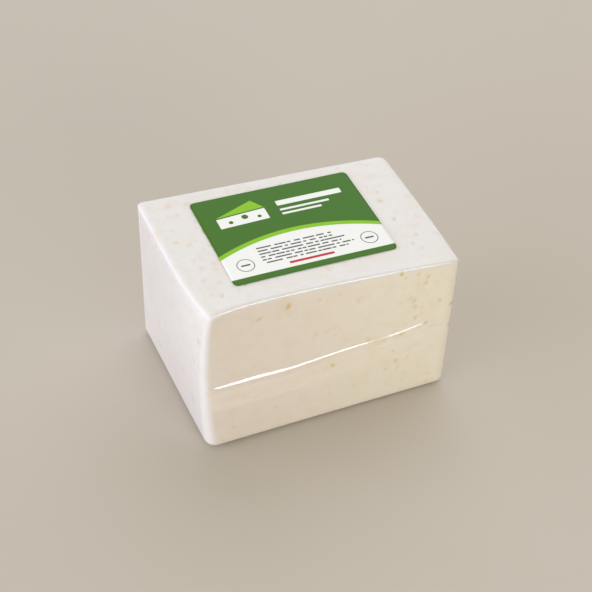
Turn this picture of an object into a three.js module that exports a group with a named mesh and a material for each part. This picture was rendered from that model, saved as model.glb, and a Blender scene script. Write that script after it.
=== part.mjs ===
// A block of aged white cheese, sealed in a tight clear film, with a printed label on its top.
// Millimetres, +Z up. +X runs along the long front and +Y goes to the back.
// The origin is the middle of the block's bounding box, on the surface that it stands on.
import * as THREE from 'three';
import { mergeVertices } from 'three/addons/utils/BufferGeometryUtils.js';

// The block as a true box, before its corners are drawn in
const BLOCK_WIDTH = 126;
const BLOCK_DEPTH = 84.15;
const BLOCK_HEIGHT = 83.55;

// Edge radii along x, y and z: edges of the ends, of the long sides, of the top and of the bottom
const END_RADIUS = 2.7;
const SIDE_RADIUS = 1.8;
const TOP_RADIUS = 1.8;
const BOTTOM_RADIUS = 3.4;

// Softer edges: the upright ones at the back right and the front right, and the front left foot
const BACK_RIGHT_RADIUS = 4.6;
const FRONT_RIGHT_RADIUS = 4.7;
const FOOT_RADIUS = 5.5;

// How far the cut and the shrunk film have moved each corner from the true box: [x, y, z]
const CORNER_MOVES = [
  { side: [-1, -1, 1], move: [-0.7, 3.25, 1.05] },
  { side: [1, -1, 1], move: [0.25, -1.05, -0.75] },
  { side: [-1, 1, 1], move: [-1.65, -0.1, 1.2] },
  { side: [1, 1, 1], move: [-0.8, -1.05, -1.8] },
  { side: [-1, -1, -1], move: [2.6, -3.25, 0] },
  { side: [1, -1, -1], move: [0.2, 0.6, 0] },
  { side: [-1, 1, -1], move: [0.15, 1.65, 0] },
];

// The film pulls the front left corner of the top in: the pull, and its reach along x, y and z
const CORNER_PULL = [5.95, -2.75, -3.85];
const PULL_REACH = [19.9, 13.7, 28.2];

// The front of the top sags towards the right corner, and less with the distance from it
const RIGHT_SAG = 2.3;
const RIGHT_SAG_REACH = 38.2;
const SAG_FADE_POWER = 4;

// The sides swell a little in their middle, and so does the upright edge at the front left
const SIDE_SWELL = 0.6;
const FRONT_LEFT_SWELL = 1.35;

// The film's raised crease along the long sides: its line rises to the right
const CREASE_MIDDLE_HEIGHT = 40.5;
const CREASE_SLOPE = 0.0736;
const CREASE_CURVE = 0.00054;
const CREASE_RISE = 0.8;
const CREASE_HALF_WIDTH = 1.3;
const CREASE_END_FADE = 9;
const CREASE_FACE_POWER = 40;

// The label, with rounded corners, lies on the top and follows it
const LABEL_WIDTH = 80;
const LABEL_DEPTH = 60.7;
const LABEL_THICKNESS = 0.2;
const LABEL_GAP = 0.1;
const LABEL_CORNER_RADIUS = 2.4;
const LABEL_CENTRE_X = -1.9;
const LABEL_CENTRE_Y = 2.1;
const LABEL_TURN_DEGREES = 0.5;

// Mesh rows: over a rounded edge, over the crease, and along the flats
const EDGE_ROWS = 6;
const LEVEL_EDGE_ROWS = 3;
const CREASE_ROWS = 4;
const WIDTH_ROWS = 16;
const DEPTH_ROWS = 12;
const BELOW_CREASE_ROWS = 4;
const ABOVE_CREASE_ROWS = 4;
const LABEL_WIDTH_ROWS = 16;
const LABEL_DEPTH_ROWS = 10;
const LABEL_CORNER_ROWS = 4;

// Corrections that bring a point of the top to a given place
const CLOSING_STEPS = 4;

const HALF = new THREE.Vector3(BLOCK_WIDTH, BLOCK_DEPTH, BLOCK_HEIGHT).multiplyScalar(0.5);
const CREASE_LEVEL = (2 * CREASE_MIDDLE_HEIGHT) / BLOCK_HEIGHT - 1;

// Even steps from one number to another, without the last one
function steps(from, to, count) {
  return Array.from({ length: count }, (_, i) => THREE.MathUtils.lerp(from, to, i / count));
}

// Rows from -1 to 1 across a face: closer and closer towards both rounded edges, and even between them
function faceRows(half, middleRows) {
  const edge = FOOT_RADIUS / half;
  const edgeRows = steps(0, 1, EDGE_ROWS).map((step) => 1 - edge * step * step);
  return [
    ...edgeRows.map((row) => -row),
    ...steps(edge - 1, 1 - edge, middleRows),
    1 - edge,
    ...edgeRows.reverse(),
  ];
}

// Rows from -1 to 1 up the sides: close over the edges and over the crease
function sideRows() {
  const low = -1 + BOTTOM_RADIUS / HALF.z;
  const high = 1 - TOP_RADIUS / HALF.z;
  const creaseHalf = CREASE_HALF_WIDTH / HALF.z;
  return [
    ...steps(-1, low, LEVEL_EDGE_ROWS),
    ...steps(low, CREASE_LEVEL - creaseHalf, BELOW_CREASE_ROWS),
    ...steps(CREASE_LEVEL - creaseHalf, CREASE_LEVEL + creaseHalf, CREASE_ROWS),
    ...steps(CREASE_LEVEL + creaseHalf, high, ABOVE_CREASE_ROWS),
    ...steps(high, 1, LEVEL_EDGE_ROWS),
    1,
  ];
}

// Edge radii at a place, blended from those of the plain edges towards those of the softer ones
function edgeRadii(u, v, w) {
  const backRight = ((1 + u) * (1 + v)) / 4;
  const frontRight = ((1 + u) * (1 - v)) / 4;
  const foot = ((1 - u) * (1 - v) * (1 - w)) / 8;
  const end = END_RADIUS + (FRONT_RIGHT_RADIUS - END_RADIUS) * frontRight;
  return new THREE.Vector3(
    end + (BACK_RIGHT_RADIUS - END_RADIUS) * backRight + (FOOT_RADIUS - END_RADIUS) * foot,
    SIDE_RADIUS + (BACK_RIGHT_RADIUS - SIDE_RADIUS) * backRight + (FOOT_RADIUS - SIDE_RADIUS) * foot,
    THREE.MathUtils.lerp(BOTTOM_RADIUS, TOP_RADIUS, (w + 1) / 2),
  );
}

// Height of the crease's line at a place along the block
function creaseHeight(x) {
  return CREASE_MIDDLE_HEIGHT + CREASE_SLOPE * x + CREASE_CURVE * x * x;
}

// A point of a box's surface, moved onto the same box with rounded edges
function roundedPoint(u, v, w) {
  const radius = edgeRadii(u, v, w);
  const point = new THREE.Vector3(u, v, w).multiply(HALF);
  const inner = HALF.clone().sub(radius);
  const core = point.clone().clamp(inner.clone().negate(), inner);
  return point.sub(core).divide(radius).normalize().multiply(radius).add(core);
}

// A point of the block's surface, from a point of the surface of the cube from -1 to 1
function blockPoint(cubeU, cubeV, cubeW) {
  // rows near the crease follow its slope
  const lift = creaseHeight(cubeU * HALF.x) / HALF.z - 1 - CREASE_LEVEL;
  const share = cubeW < CREASE_LEVEL ? (cubeW + 1) / (CREASE_LEVEL + 1) : (1 - cubeW) / (1 - CREASE_LEVEL);
  const point = roundedPoint(cubeU, cubeV, cubeW + share * lift);
  const u = point.x / HALF.x;
  const v = point.y / HALF.y;
  const w = point.z / HALF.z;
  const height = (w + 1) / 2;
  const creaseAway = (point.z + HALF.z - creaseHeight(point.x)) / CREASE_HALF_WIDTH;
  point.z += HALF.z;

  for (const { side, move } of CORNER_MOVES) {
    const weight = ((1 + side[0] * u) * (1 + side[1] * v) * (1 + side[2] * w)) / 8;
    point.addScaledVector(new THREE.Vector3(...move), weight);
  }

  const away = [(1 + u) * HALF.x, (1 + v) * HALF.y, (1 - w) * HALF.z];
  const pull = Math.exp(-away.reduce((sum, distance, axis) => sum + distance / PULL_REACH[axis], 0));
  point.x += CORNER_PULL[0] * pull;
  point.y += CORNER_PULL[1] * pull;
  point.z += CORNER_PULL[2] * pull * height;

  const front = ((1 - v) / 2) ** SAG_FADE_POWER * height;
  point.z -= front * RIGHT_SAG * Math.exp((-(1 - u) * HALF.x) / RIGHT_SAG_REACH);

  point.y += SIDE_SWELL * v * (1 - u * u) * (1 - w * w);
  point.x += SIDE_SWELL * u * (1 - v * v) * (1 - w * w);
  point.x -= FRONT_LEFT_SWELL * ((1 - u) / 2) ** 2 * ((1 - v) / 2) ** 2 * (1 - w * w);

  if (Math.abs(creaseAway) < 1) {
    const bell = (1 + Math.cos(Math.PI * creaseAway)) / 2;
    const ends = THREE.MathUtils.smoothstep((1 - Math.abs(u)) * HALF.x, 0, CREASE_END_FADE);
    point.y += Math.sign(v) * CREASE_RISE * bell * ends * Math.abs(v) ** CREASE_FACE_POWER;
  }
  return point;
}

// Height of the block's top at a place: u and v are corrected until their point lies there
function topHeight(x, y) {
  let u = x / HALF.x;
  let v = y / HALF.y;
  let point = blockPoint(u, v, 1);
  for (let i = 0; i < CLOSING_STEPS; i += 1) {
    u += (x - point.x) / HALF.x;
    v += (y - point.y) / HALF.y;
    point = blockPoint(u, v, 1);
  }
  return point.z;
}

// Moves every vertex of a cube of size 2 by a function of its rows, and welds the faces together
function shapedCube(rows, place) {
  const counts = rows.map((row) => row.length - 1);
  const cube = new THREE.BoxGeometry(2, 2, 2, ...counts);
  cube.deleteAttribute('normal');
  cube.deleteAttribute('uv');
  const positions = cube.getAttribute('position');
  const rowAt = (axis, value) => rows[axis][Math.round(((value + 1) / 2) * counts[axis])];
  for (let i = 0; i < positions.count; i += 1) {
    const u = rowAt(0, positions.getX(i));
    const v = rowAt(1, positions.getY(i));
    const w = rowAt(2, positions.getZ(i));
    const point = place(u, v, w);
    positions.setXYZ(i, point.x, point.y, point.z);
  }
  return mergeVertices(cube);
}

function makeBlock() {
  const rows = [
    faceRows(HALF.x, WIDTH_ROWS),
    faceRows(HALF.y, DEPTH_ROWS),
    sideRows(),
  ];
  return shapedCube(rows, blockPoint);
}

// Each row across the label is as long as its rounded outline is wide there
function labelPoint(u, v, w) {
  const y = (v * LABEL_DEPTH) / 2;
  const pastStraight = Math.max(0, Math.abs(y) - (LABEL_DEPTH / 2 - LABEL_CORNER_RADIUS));
  const cornerReach = Math.sqrt(Math.max(0, LABEL_CORNER_RADIUS ** 2 - pastStraight ** 2));
  const x = u * (LABEL_WIDTH / 2 - LABEL_CORNER_RADIUS + cornerReach);
  const turn = THREE.MathUtils.degToRad(LABEL_TURN_DEGREES);
  const point = new THREE.Vector2(x, y).rotateAround(new THREE.Vector2(), turn);
  point.add(new THREE.Vector2(LABEL_CENTRE_X, LABEL_CENTRE_Y));
  const above = LABEL_GAP + (LABEL_THICKNESS * (w + 1)) / 2;
  return new THREE.Vector3(point.x, point.y, topHeight(point.x, point.y) + above);
}

function makeLabel() {
  const straight = 1 - (2 * LABEL_CORNER_RADIUS) / LABEL_DEPTH;
  const arc = steps(0, Math.PI / 2, LABEL_CORNER_ROWS).map((angle) => Math.sin(angle));
  const cornerRows = [...arc, 1].map((sine) => straight + (1 - straight) * sine);
  const depthRows = [
    ...cornerRows.map((row) => -row).reverse(),
    ...steps(-straight, straight, LABEL_DEPTH_ROWS).slice(1),
    ...cornerRows,
  ];
  const widthRows = [...steps(-1, 1, LABEL_WIDTH_ROWS), 1];
  return shapedCube([widthRows, depthRows, [-1, 1]], labelPoint);
}

function namedMesh(name, geometry, look) {
  geometry.computeVertexNormals();
  const mesh = new THREE.Mesh(geometry, new THREE.MeshStandardMaterial(look));
  mesh.name = name;
  return mesh;
}

const block = namedMesh('sealed_block', makeBlock(), { color: 0xebe5dc, roughness: 0.35, metalness: 0 });
const label = namedMesh('label', makeLabel(), { color: 0x537e39, roughness: 0.45, metalness: 0 });

// The two pieces share one frame, which is moved so that the block's box is centred on the origin
block.geometry.computeBoundingBox();
const boxCentre = block.geometry.boundingBox.getCenter(new THREE.Vector3());

const cheesePack = new THREE.Group();
cheesePack.add(block, label);
cheesePack.position.set(-boxCentre.x, -boxCentre.y, 0);
cheesePack.updateMatrixWorld(true);

export default cheesePack;
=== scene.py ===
# %% [markdown]
# # A sealed block of aged white cheese
# The real thing is a block of white cheese, shrunk into a clear film and labelled on its top.
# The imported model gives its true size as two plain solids: the block and the label.
# This lesson dresses them. The block becomes two pieces, the cheese and the film around it,
# because a camera sees both: the dull, speckled cheese, and the gloss of the film in front of it.

# %% Load the fixed frame
import bpy
import numpy as np
from mathutils import Matrix, Vector


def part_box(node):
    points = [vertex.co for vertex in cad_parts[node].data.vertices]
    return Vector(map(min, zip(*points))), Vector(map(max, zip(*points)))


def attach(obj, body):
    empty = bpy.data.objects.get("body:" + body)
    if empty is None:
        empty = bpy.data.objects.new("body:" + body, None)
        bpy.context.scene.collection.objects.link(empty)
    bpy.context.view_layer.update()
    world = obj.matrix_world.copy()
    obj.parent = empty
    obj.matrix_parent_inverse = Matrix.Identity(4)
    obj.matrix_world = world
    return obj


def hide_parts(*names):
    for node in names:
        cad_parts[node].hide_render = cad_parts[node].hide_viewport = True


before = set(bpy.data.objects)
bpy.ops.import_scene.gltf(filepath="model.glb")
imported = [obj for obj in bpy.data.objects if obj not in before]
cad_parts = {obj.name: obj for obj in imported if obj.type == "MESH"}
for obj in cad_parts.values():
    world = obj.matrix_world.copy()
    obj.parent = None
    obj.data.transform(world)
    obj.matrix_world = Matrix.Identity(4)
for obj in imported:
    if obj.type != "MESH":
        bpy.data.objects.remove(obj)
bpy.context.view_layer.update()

print("nodes of the frame:", sorted(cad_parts))

# %% [markdown]
# ## The block's form
# Cheese and film share one form, so it is written once, as a function. A cube from -1 to 1 is the
# start: its skin is pushed onto a box with round edges, and the box is then bent as the real one is.
# A box with a Bevel modifier would be quicker, but a formula lets the film's rows follow a crease,
# and gives the height of the top wherever the label needs it.

# %% Sizes of the block
BLOCK_HALF = np.array([0.126, 0.08415, 0.08355]) / 2
END_RADIUS, SIDE_RADIUS = 0.0027, 0.0018
TOP_RADIUS, BOTTOM_RADIUS = 0.0018, 0.0034
BACK_RIGHT_RADIUS, FRONT_RIGHT_RADIUS, FOOT_RADIUS = 0.0046, 0.0047, 0.0055
SIDE_SWELL, FRONT_LEFT_SWELL = 0.0006, 0.00135
CORNER_PULL = np.array([0.00595, -0.00275, -0.00385])
PULL_REACH = np.array([0.0199, 0.0137, 0.0282])
RIGHT_SAG, RIGHT_SAG_REACH = 0.0023, 0.0382
SAG_FADE_POWER = 4
CORNER_MOVES = {
    (-1, -1, 1): (-0.0007, 0.00325, 0.00105),
    (1, -1, 1): (0.00025, -0.00105, -0.00075),
    (-1, 1, 1): (-0.00165, -0.0001, 0.0012),
    (1, 1, 1): (-0.0008, -0.00105, -0.0018),
    (-1, -1, -1): (0.0026, -0.00325, 0.0),
    (1, -1, -1): (0.0002, 0.0006, 0.0),
    (-1, 1, -1): (0.00015, 0.00165, 0.0),
}
LABEL_CENTRE = np.array([-0.0019, 0.0021])
label_low, label_high = (np.array(corner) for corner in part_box("label"))
form_shift = np.append((label_low + label_high)[:2] / 2 - LABEL_CENTRE, 0.0)
print("the form's middle lies at", form_shift.round(5), "in the frame")

# %% The form as a function
def round_edges(cube):
    """Box with round edges: each point of the cube's skin is stretched to the box, split into the
    nearest point of an inner box and a rest, and the rest is brought to the length of the radius.
    The radii along x, y and z are blended from those of the plain edges to those of the softer ones.
    Returns the points and the directions that face out of the block."""
    u, v, w = cube.T
    back_right = (1 + u) * (1 + v) / 4
    front_right = (1 + u) * (1 - v) / 4
    foot = (1 - u) * (1 - v) * (1 - w) / 8
    end = END_RADIUS + (BACK_RIGHT_RADIUS - END_RADIUS) * back_right
    end += (FRONT_RIGHT_RADIUS - END_RADIUS) * front_right + (FOOT_RADIUS - END_RADIUS) * foot
    side = SIDE_RADIUS + (BACK_RIGHT_RADIUS - SIDE_RADIUS) * back_right + (FOOT_RADIUS - SIDE_RADIUS) * foot
    level = BOTTOM_RADIUS + (TOP_RADIUS - BOTTOM_RADIUS) * (w + 1) / 2
    radius = np.stack([end, side, level], -1)
    point = cube * BLOCK_HALF
    core = np.clip(point, radius - BLOCK_HALF, BLOCK_HALF - radius)
    rest = (point - core) / radius
    rest /= np.linalg.norm(rest, axis=1, keepdims=True)
    outward = rest / radius
    outward /= np.linalg.norm(outward, axis=1, keepdims=True)
    return core + rest * radius, outward


def block_form(cube):
    """The block: the box with round edges, plus a share of every corner's move, the share being the
    product of how near the point is to that corner along each axis, plus the film's pull at the top's
    front left corner and less the sag at its front right one, which both fade exponentially with the
    distance from the corner, plus the swell of the middles of the sides and of the front left edge."""
    point, outward = round_edges(cube)
    u, v, w = (point / BLOCK_HALF).T
    height = (1 + w) / 2
    point[:, 2] += BLOCK_HALF[2]
    for (su, sv, sw), move in CORNER_MOVES.items():
        share = (1 + su * u) * (1 + sv * v) * (1 + sw * w) / 8
        point += share[:, None] * np.array(move)
    away = np.stack([1 + u, 1 + v, 1 - w], -1) * BLOCK_HALF
    pull = np.exp(-(away / PULL_REACH).sum(1))
    point += np.stack([pull, pull, pull * height], -1) * CORNER_PULL
    front = ((1 - v) / 2) ** SAG_FADE_POWER * height
    point[:, 2] -= front * RIGHT_SAG * np.exp(-(1 - u) * BLOCK_HALF[0] / RIGHT_SAG_REACH)
    point[:, 1] += SIDE_SWELL * v * (1 - u * u) * (1 - w * w)
    point[:, 0] += SIDE_SWELL * u * (1 - v * v) * (1 - w * w)
    point[:, 0] -= FRONT_LEFT_SWELL * ((1 - u) / 2) ** 2 * ((1 - v) / 2) ** 2 * (1 - w * w)
    return point + form_shift, outward


top_middle = block_form(np.array([[0.0, 0.0, 1.0]]))[0][0]
print("the middle of the top lies at", top_middle.round(4))

# %% Helpers: the skin of a cube, and a mesh from arrays
def cube_skin(rows):
    """Every grid point on the six faces of a cube whose rows along x, y and z are given, each once,
    and the quads between them, turned so that they face out."""
    index = np.meshgrid(*[np.arange(len(row)) for row in rows], indexing="ij")
    on_skin = np.any([(i == 0) | (i == i.max()) for i in index], axis=0)
    number = np.full(on_skin.shape, -1)
    number[on_skin] = np.arange(on_skin.sum())
    points = np.stack([row[i[on_skin]] for row, i in zip(rows, index)], -1)
    sheets = [
        number[0][:, ::-1], number[-1],
        number[:, 0], number[:, -1][:, ::-1],
        number[:, :, 0][:, ::-1], number[:, :, -1],
    ]
    corners = [np.stack([s[:-1, :-1], s[1:, :-1], s[1:, 1:], s[:-1, 1:]], -1) for s in sheets]
    return points, np.concatenate([c.reshape(-1, 4) for c in corners])


def mesh_piece(name, points, quads, material):
    """An object at the origin whose mesh is filled from whole arrays, with smooth faces."""
    mesh = bpy.data.meshes.new(name)
    mesh.vertices.add(len(points))
    mesh.vertices.foreach_set("co", points.astype(np.float32).ravel())
    mesh.loops.add(quads.size)
    mesh.loops.foreach_set("vertex_index", quads.astype(np.int32).ravel())
    mesh.polygons.add(len(quads))
    mesh.polygons.foreach_set("loop_start", np.arange(0, quads.size, 4, dtype=np.int32))
    mesh.update(calc_edges=True)
    mesh.validate()
    mesh.shade_smooth()
    mesh.materials.append(material)
    piece = bpy.data.objects.new(name, mesh)
    bpy.context.scene.collection.objects.link(piece)
    print(f"{name}: {len(points)} points, {2 * len(quads)} triangles")
    return piece


def set_attribute(piece, name, values):
    """A number at every point of a piece's mesh, which its material can read by name."""
    piece.data.attributes.new(name, "FLOAT", "POINT").data.foreach_set("value", values.astype(np.float32))


def face_rows(half, edge_count, middle_count):
    """Rows from -1 to 1: closer and closer towards the two round edges, by squares, and even between."""
    edge = FOOT_RADIUS / half
    rising = 1 - edge * np.linspace(1, 0, edge_count + 1) ** 2
    middle = np.linspace(edge - 1, 1 - edge, middle_count + 1)
    return np.concatenate([-rising[:0:-1], middle, rising[1:]])


def smooth_step(value, low, high):
    """0 below low, 1 above high, and the curve 3t2 - 2t3 between them."""
    t = np.clip((value - low) / (high - low), 0, 1)
    return t * t * (3 - 2 * t)


small_skin = cube_skin([np.linspace(-1, 1, 3)] * 3)
print("a cube of 3 rows has", len(small_skin[0]), "points and", len(small_skin[1]), "quads on its skin")

# %% [markdown]
# ## Shader helpers
# Every finish below is a tree of nodes. It could be drawn in the Shader Editor, but a script can be
# read and run again. Small helpers keep it short: they add a node with its settings, a Math node, a
# mix of two colours, a soft step, a number read from the mesh, or a group of nodes.

# %% Helpers for node trees
def add_node(tree, kind, links=None, **settings):
    """A node of a kind, with its properties set, and its input sockets linked or given values."""
    node = tree.nodes.new(kind)
    for name, value in settings.items():
        setattr(node, name, value)
    for socket, value in (links or {}).items():
        if isinstance(value, bpy.types.NodeSocket):
            tree.links.new(value, node.inputs[socket])
        else:
            node.inputs[socket].default_value = value
    return node


def calc(tree, operation, a, b=0.0, c=0.0, clamp=False):
    """A Math node's result, from numbers or sockets."""
    links = {0: a, 1: b, 2: c}
    return add_node(tree, "ShaderNodeMath", links, operation=operation, use_clamp=clamp).outputs[0]


def blend_colours(tree, factor, first, second, mode="MIX"):
    """A Mix node's colour: the first colour where the factor is 0, and where it is 1 the second one or,
    in the Multiply mode, the product of both."""
    links = {0: factor, 6: first, 7: second}
    return add_node(tree, "ShaderNodeMix", links, data_type="RGBA", blend_type=mode).outputs[2]


def step_up(tree, value, low, high):
    """A soft step: 0 where the value is below low and 1 where it is above high."""
    links = {0: value, 1: low, 2: high}
    return add_node(tree, "ShaderNodeMapRange", links, interpolation_type="SMOOTHSTEP").outputs[0]


def read_attribute(tree, name):
    """The number that a mesh carries at every point under a name."""
    return add_node(tree, "ShaderNodeAttribute", attribute_name=name).outputs["Fac"]


def new_material(name):
    """An empty node material and its tree."""
    material = bpy.data.materials.new(name)
    material.use_nodes = True
    material.node_tree.nodes.clear()
    return material, material.node_tree


def show_shader(material, shader):
    """The material, with the shader linked to its surface."""
    links = {"Surface": shader.outputs[0]}
    add_node(material.node_tree, "ShaderNodeOutputMaterial", links, is_active_output=True)
    return material


def new_group(name, inputs, outputs):
    """A shader node group with named sockets: its tree, what it is given and what it puts out."""
    tree = bpy.data.node_groups.new(name, "ShaderNodeTree")
    for title, kind, value in inputs:
        socket = tree.interface.new_socket(title, in_out="INPUT", socket_type=kind)
        if value is not None:
            socket.default_value = value
    for title, kind in outputs:
        tree.interface.new_socket(title, in_out="OUTPUT", socket_type=kind)
    return tree, tree.nodes.new("NodeGroupInput").outputs, tree.nodes.new("NodeGroupOutput").inputs


def use_group(tree, group, links):
    """The outputs of a node that places the group in a tree."""
    return add_node(tree, "ShaderNodeGroup", links, node_tree=group).outputs


FLOAT, VECTOR = "NodeSocketFloat", "NodeSocketVector"
print("sockets of the groups below are", FLOAT, "and", VECTOR)

# %% [markdown]
# ## The cheese's finish
# Aged white cheese is nearly white, a little warm, and dull. Light goes into it and comes out again
# a few millimetres away, so it gets some subsurface scattering. It is never one even tone: the curd
# shows as soft clouds, and small openings hold whey. The long sides are painted yellower than the top,
# darker at the left end and lighter towards the right: painted warm shade and light, standing in for
# the warm light that falls on them. Clouds and fine specks are noise in Object coordinates, which
# needs no image. The openings and the long sides are marked by attributes of the mesh, because only
# the mesh knows where they are.

# %% Colours and clouds of the curd
CURD = (0.850, 0.795, 0.728, 1)
CURD_PINK = (0.832, 0.730, 0.645, 1)
# painted warm shade of the long sides: darker at the left end, lighter and warmer at the right, as the
# light falls there; the clouds there take a darker copy of it
SIDE_CURD_SHADED = (0.846, 0.738, 0.630, 1)
SIDE_CURD_SHADED_RIGHT = (0.926, 0.830, 0.682, 1)
CURD_TAN = (0.745, 0.535, 0.345, 1)
WHEY = (0.745, 0.530, 0.225, 1)
SIDE_CLOUD_SHADE = (0.972, 0.945, 0.905, 1)
CLOUD_SCALE = 95.0
CURD_GRAIN_SCALE = 330.0
PATCH_SCALE = 140.0
SPECK_SCALE = 150.0
SPECK_BEND = 0.0022
SPECK_CORE = 0.25
SPECK_LEAST_REACH, SPECK_LEAST_STRENGTH = 0.3, 0.15


def curd_clouds_group():
    """Soft clouds: noise of a given size, spread so that what lies under a low mark is 0 and what lies
    over a high mark is 1."""
    tree, given, made = new_group(
        "curd clouds",
        [("Position", VECTOR, None), ("Scale", FLOAT, CLOUD_SCALE),
         ("Low", FLOAT, 0.4), ("High", FLOAT, 0.7)],
        [("Cloud", FLOAT)])
    noise = add_node(tree, "ShaderNodeTexNoise", {
        "Vector": given["Position"], "Scale": given["Scale"],
        "Detail": 4.0, "Roughness": 0.6, "Distortion": 0.5})
    tree.links.new(step_up(tree, noise.outputs["Fac"], given["Low"], given["High"]), made["Cloud"])
    return tree


def speck_group():
    """Small specks: the middles of a Voronoi pattern's cells in bent space, kept in a share of the
    cells, each as large and as strong as its cell's own luck."""
    tree, given, made = new_group(
        "curd specks",
        [("Position", VECTOR, None), ("Scale", FLOAT, SPECK_SCALE), ("Share", FLOAT, 0.1),
         ("Reach", FLOAT, 0.3)],
        [("Speck", FLOAT)])
    bend = add_node(tree, "ShaderNodeTexNoise", {"Vector": given["Position"], "Scale": SPECK_SCALE * 3})
    offset = add_node(tree, "ShaderNodeVectorMath", {0: bend.outputs["Color"], 1: (0.5, 0.5, 0.5)},
                      operation="SUBTRACT").outputs[0]
    bent = add_node(tree, "ShaderNodeVectorMath", {0: offset, 1: (SPECK_BEND,) * 3, 2: given["Position"]},
                    operation="MULTIPLY_ADD").outputs[0]
    cells = add_node(tree, "ShaderNodeTexVoronoi", {"Vector": bent, "Scale": given["Scale"]})
    luck = add_node(tree, "ShaderNodeSeparateColor", {"Color": cells.outputs["Color"]}).outputs
    size = calc(tree, "MULTIPLY_ADD", luck["Green"], 1 - SPECK_LEAST_REACH, SPECK_LEAST_REACH)
    reach = calc(tree, "MULTIPLY", given["Reach"], size)
    inner = calc(tree, "MULTIPLY", reach, SPECK_CORE)
    near = calc(tree, "SUBTRACT", 1.0, step_up(tree, cells.outputs["Distance"], inner, reach))
    kept = calc(tree, "LESS_THAN", luck["Red"], given["Share"])
    strong = calc(tree, "MULTIPLY_ADD", calc(tree, "POWER", luck["Blue"], 2.0),
                  1 - SPECK_LEAST_STRENGTH, SPECK_LEAST_STRENGTH)
    tree.links.new(calc(tree, "MULTIPLY", calc(tree, "MULTIPLY", near, kept), strong), made["Speck"])
    return tree


curd_clouds = curd_clouds_group()
curd_specks = speck_group()
print("node groups:", curd_clouds.name, "and", curd_specks.name)

# %% The cheese's material
SPECK_SHARE_LEFT, SPECK_SHARE_RIGHT = 0.18, 0.60
SPECK_REACH, SIDE_SPECK_REACH = 0.26, 0.36
WARM_LEFT_END, WARM_RIGHT_END = -0.05, 0.05
CLOUD_SHARE, GRAIN_SHARE = 0.9, 0.6
PATCH_SHARE, SIDE_PATCH_SHARE = 0.5, 0.2
WHEY_SHARE = 0.9
BUMP_SCALE = 900.0


def cheese_material():
    """Cream white, with painted warm shade on the long sides that grows lighter towards the right, with
    pinkish clouds, fine grain, tan patches, specks of whey, which crowd towards the right, and tan or
    whey in the openings. Light scatters under it."""
    material, tree = new_material("white cheese")
    place = add_node(tree, "ShaderNodeTexCoord").outputs["Object"]
    axes = add_node(tree, "ShaderNodeSeparateXYZ", {0: place}).outputs
    rightward = step_up(tree, axes["X"], WARM_LEFT_END, WARM_RIGHT_END)
    long_side = read_attribute(tree, "long_side")
    cloud = use_group(tree, curd_clouds, {"Position": place, "Scale": CLOUD_SCALE,
                                          "Low": 0.42, "High": 0.75})["Cloud"]
    grain = use_group(tree, curd_clouds, {"Position": place, "Scale": CURD_GRAIN_SCALE,
                                          "Low": 0.45, "High": 0.8})["Cloud"]
    patch = use_group(tree, curd_specks, {"Position": place, "Scale": PATCH_SCALE, "Share": 0.9,
                                          "Reach": 0.46})["Speck"]
    share = calc(tree, "MULTIPLY_ADD", rightward, SPECK_SHARE_RIGHT - SPECK_SHARE_LEFT, SPECK_SHARE_LEFT)
    reach = calc(tree, "MULTIPLY_ADD", long_side, SIDE_SPECK_REACH - SPECK_REACH, SPECK_REACH)
    speck = use_group(tree, curd_specks, {"Position": place, "Scale": SPECK_SCALE, "Share": share,
                                          "Reach": reach})["Speck"]
    opening = read_attribute(tree, "opening")
    # painted warm shade on the long sides, lighter towards the right; the clouds there darken a copy of it
    side_shaded_colour = blend_colours(tree, rightward, SIDE_CURD_SHADED, SIDE_CURD_SHADED_RIGHT)
    colour = blend_colours(tree, long_side, CURD, side_shaded_colour)
    side_shaded_cloud = blend_colours(tree, 1.0, side_shaded_colour, SIDE_CLOUD_SHADE, "MULTIPLY")
    cloud_colour = blend_colours(tree, long_side, CURD_PINK, side_shaded_cloud)
    colour = blend_colours(tree, calc(tree, "MULTIPLY", cloud, CLOUD_SHARE), colour, cloud_colour)
    colour = blend_colours(tree, calc(tree, "MULTIPLY", grain, GRAIN_SHARE), colour, cloud_colour)
    patch_share = calc(tree, "MULTIPLY_ADD", long_side, SIDE_PATCH_SHARE - PATCH_SHARE, PATCH_SHARE)
    colour = blend_colours(tree, calc(tree, "MULTIPLY", patch, patch_share), colour, CURD_TAN)
    colour = blend_colours(tree, calc(tree, "MULTIPLY", speck, WHEY_SHARE), colour, WHEY)
    deposit = blend_colours(tree, long_side, CURD_TAN, WHEY)
    colour = blend_colours(tree, calc(tree, "MULTIPLY", opening, WHEY_SHARE), colour, deposit)
    relief = add_node(tree, "ShaderNodeTexNoise", {"Vector": place, "Scale": BUMP_SCALE, "Detail": 3.0})
    bump = add_node(tree, "ShaderNodeBump", {"Strength": 0.15, "Distance": 0.0003,
                                             "Height": relief.outputs["Fac"]})
    shader = add_node(tree, "ShaderNodeBsdfPrincipled", {
        "Base Color": colour, "Roughness": 0.62, "Normal": bump.outputs["Normal"],
        "Subsurface Weight": 0.3, "Subsurface Radius": (1.0, 0.75, 0.5), "Subsurface Scale": 0.002,
        "IOR": 1.4})
    return show_shader(material, shader)


white_cheese = cheese_material()
print("material:", white_cheese.name)

# %% [markdown]
# ## The cheese
# The contents of the pack: the block's form, drawn in by the film's room, with real pits where curd
# grains didn't close up. Sculpting would make each pit by hand. Here the largest stand in two short
# tables, as measured on the real block, and a seeded scatter, the same in every run, adds the small
# ones and those of the hidden faces, more of them towards the right, where the block shows most.

# %% Openings in the curd
FILM_ROOM = 0.0002
SCATTER_SEED = 7
OPENING_LENGTH = (0.0005, 0.0011)
OPENING_SHAPE = (0.45, 0.8)
OPENING_DEPTH = (0.00015, 0.0004)
OPENING_SPREAD = (0.02, 0.98)
OPENING_TURN, OPENING_TURN_SPREAD = 0.5, 0.7
OPENING_STRENGTH, OPENING_STRENGTH_POWER = (0.15, 1.0), 1.5
FACE_REACH = 0.003
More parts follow.
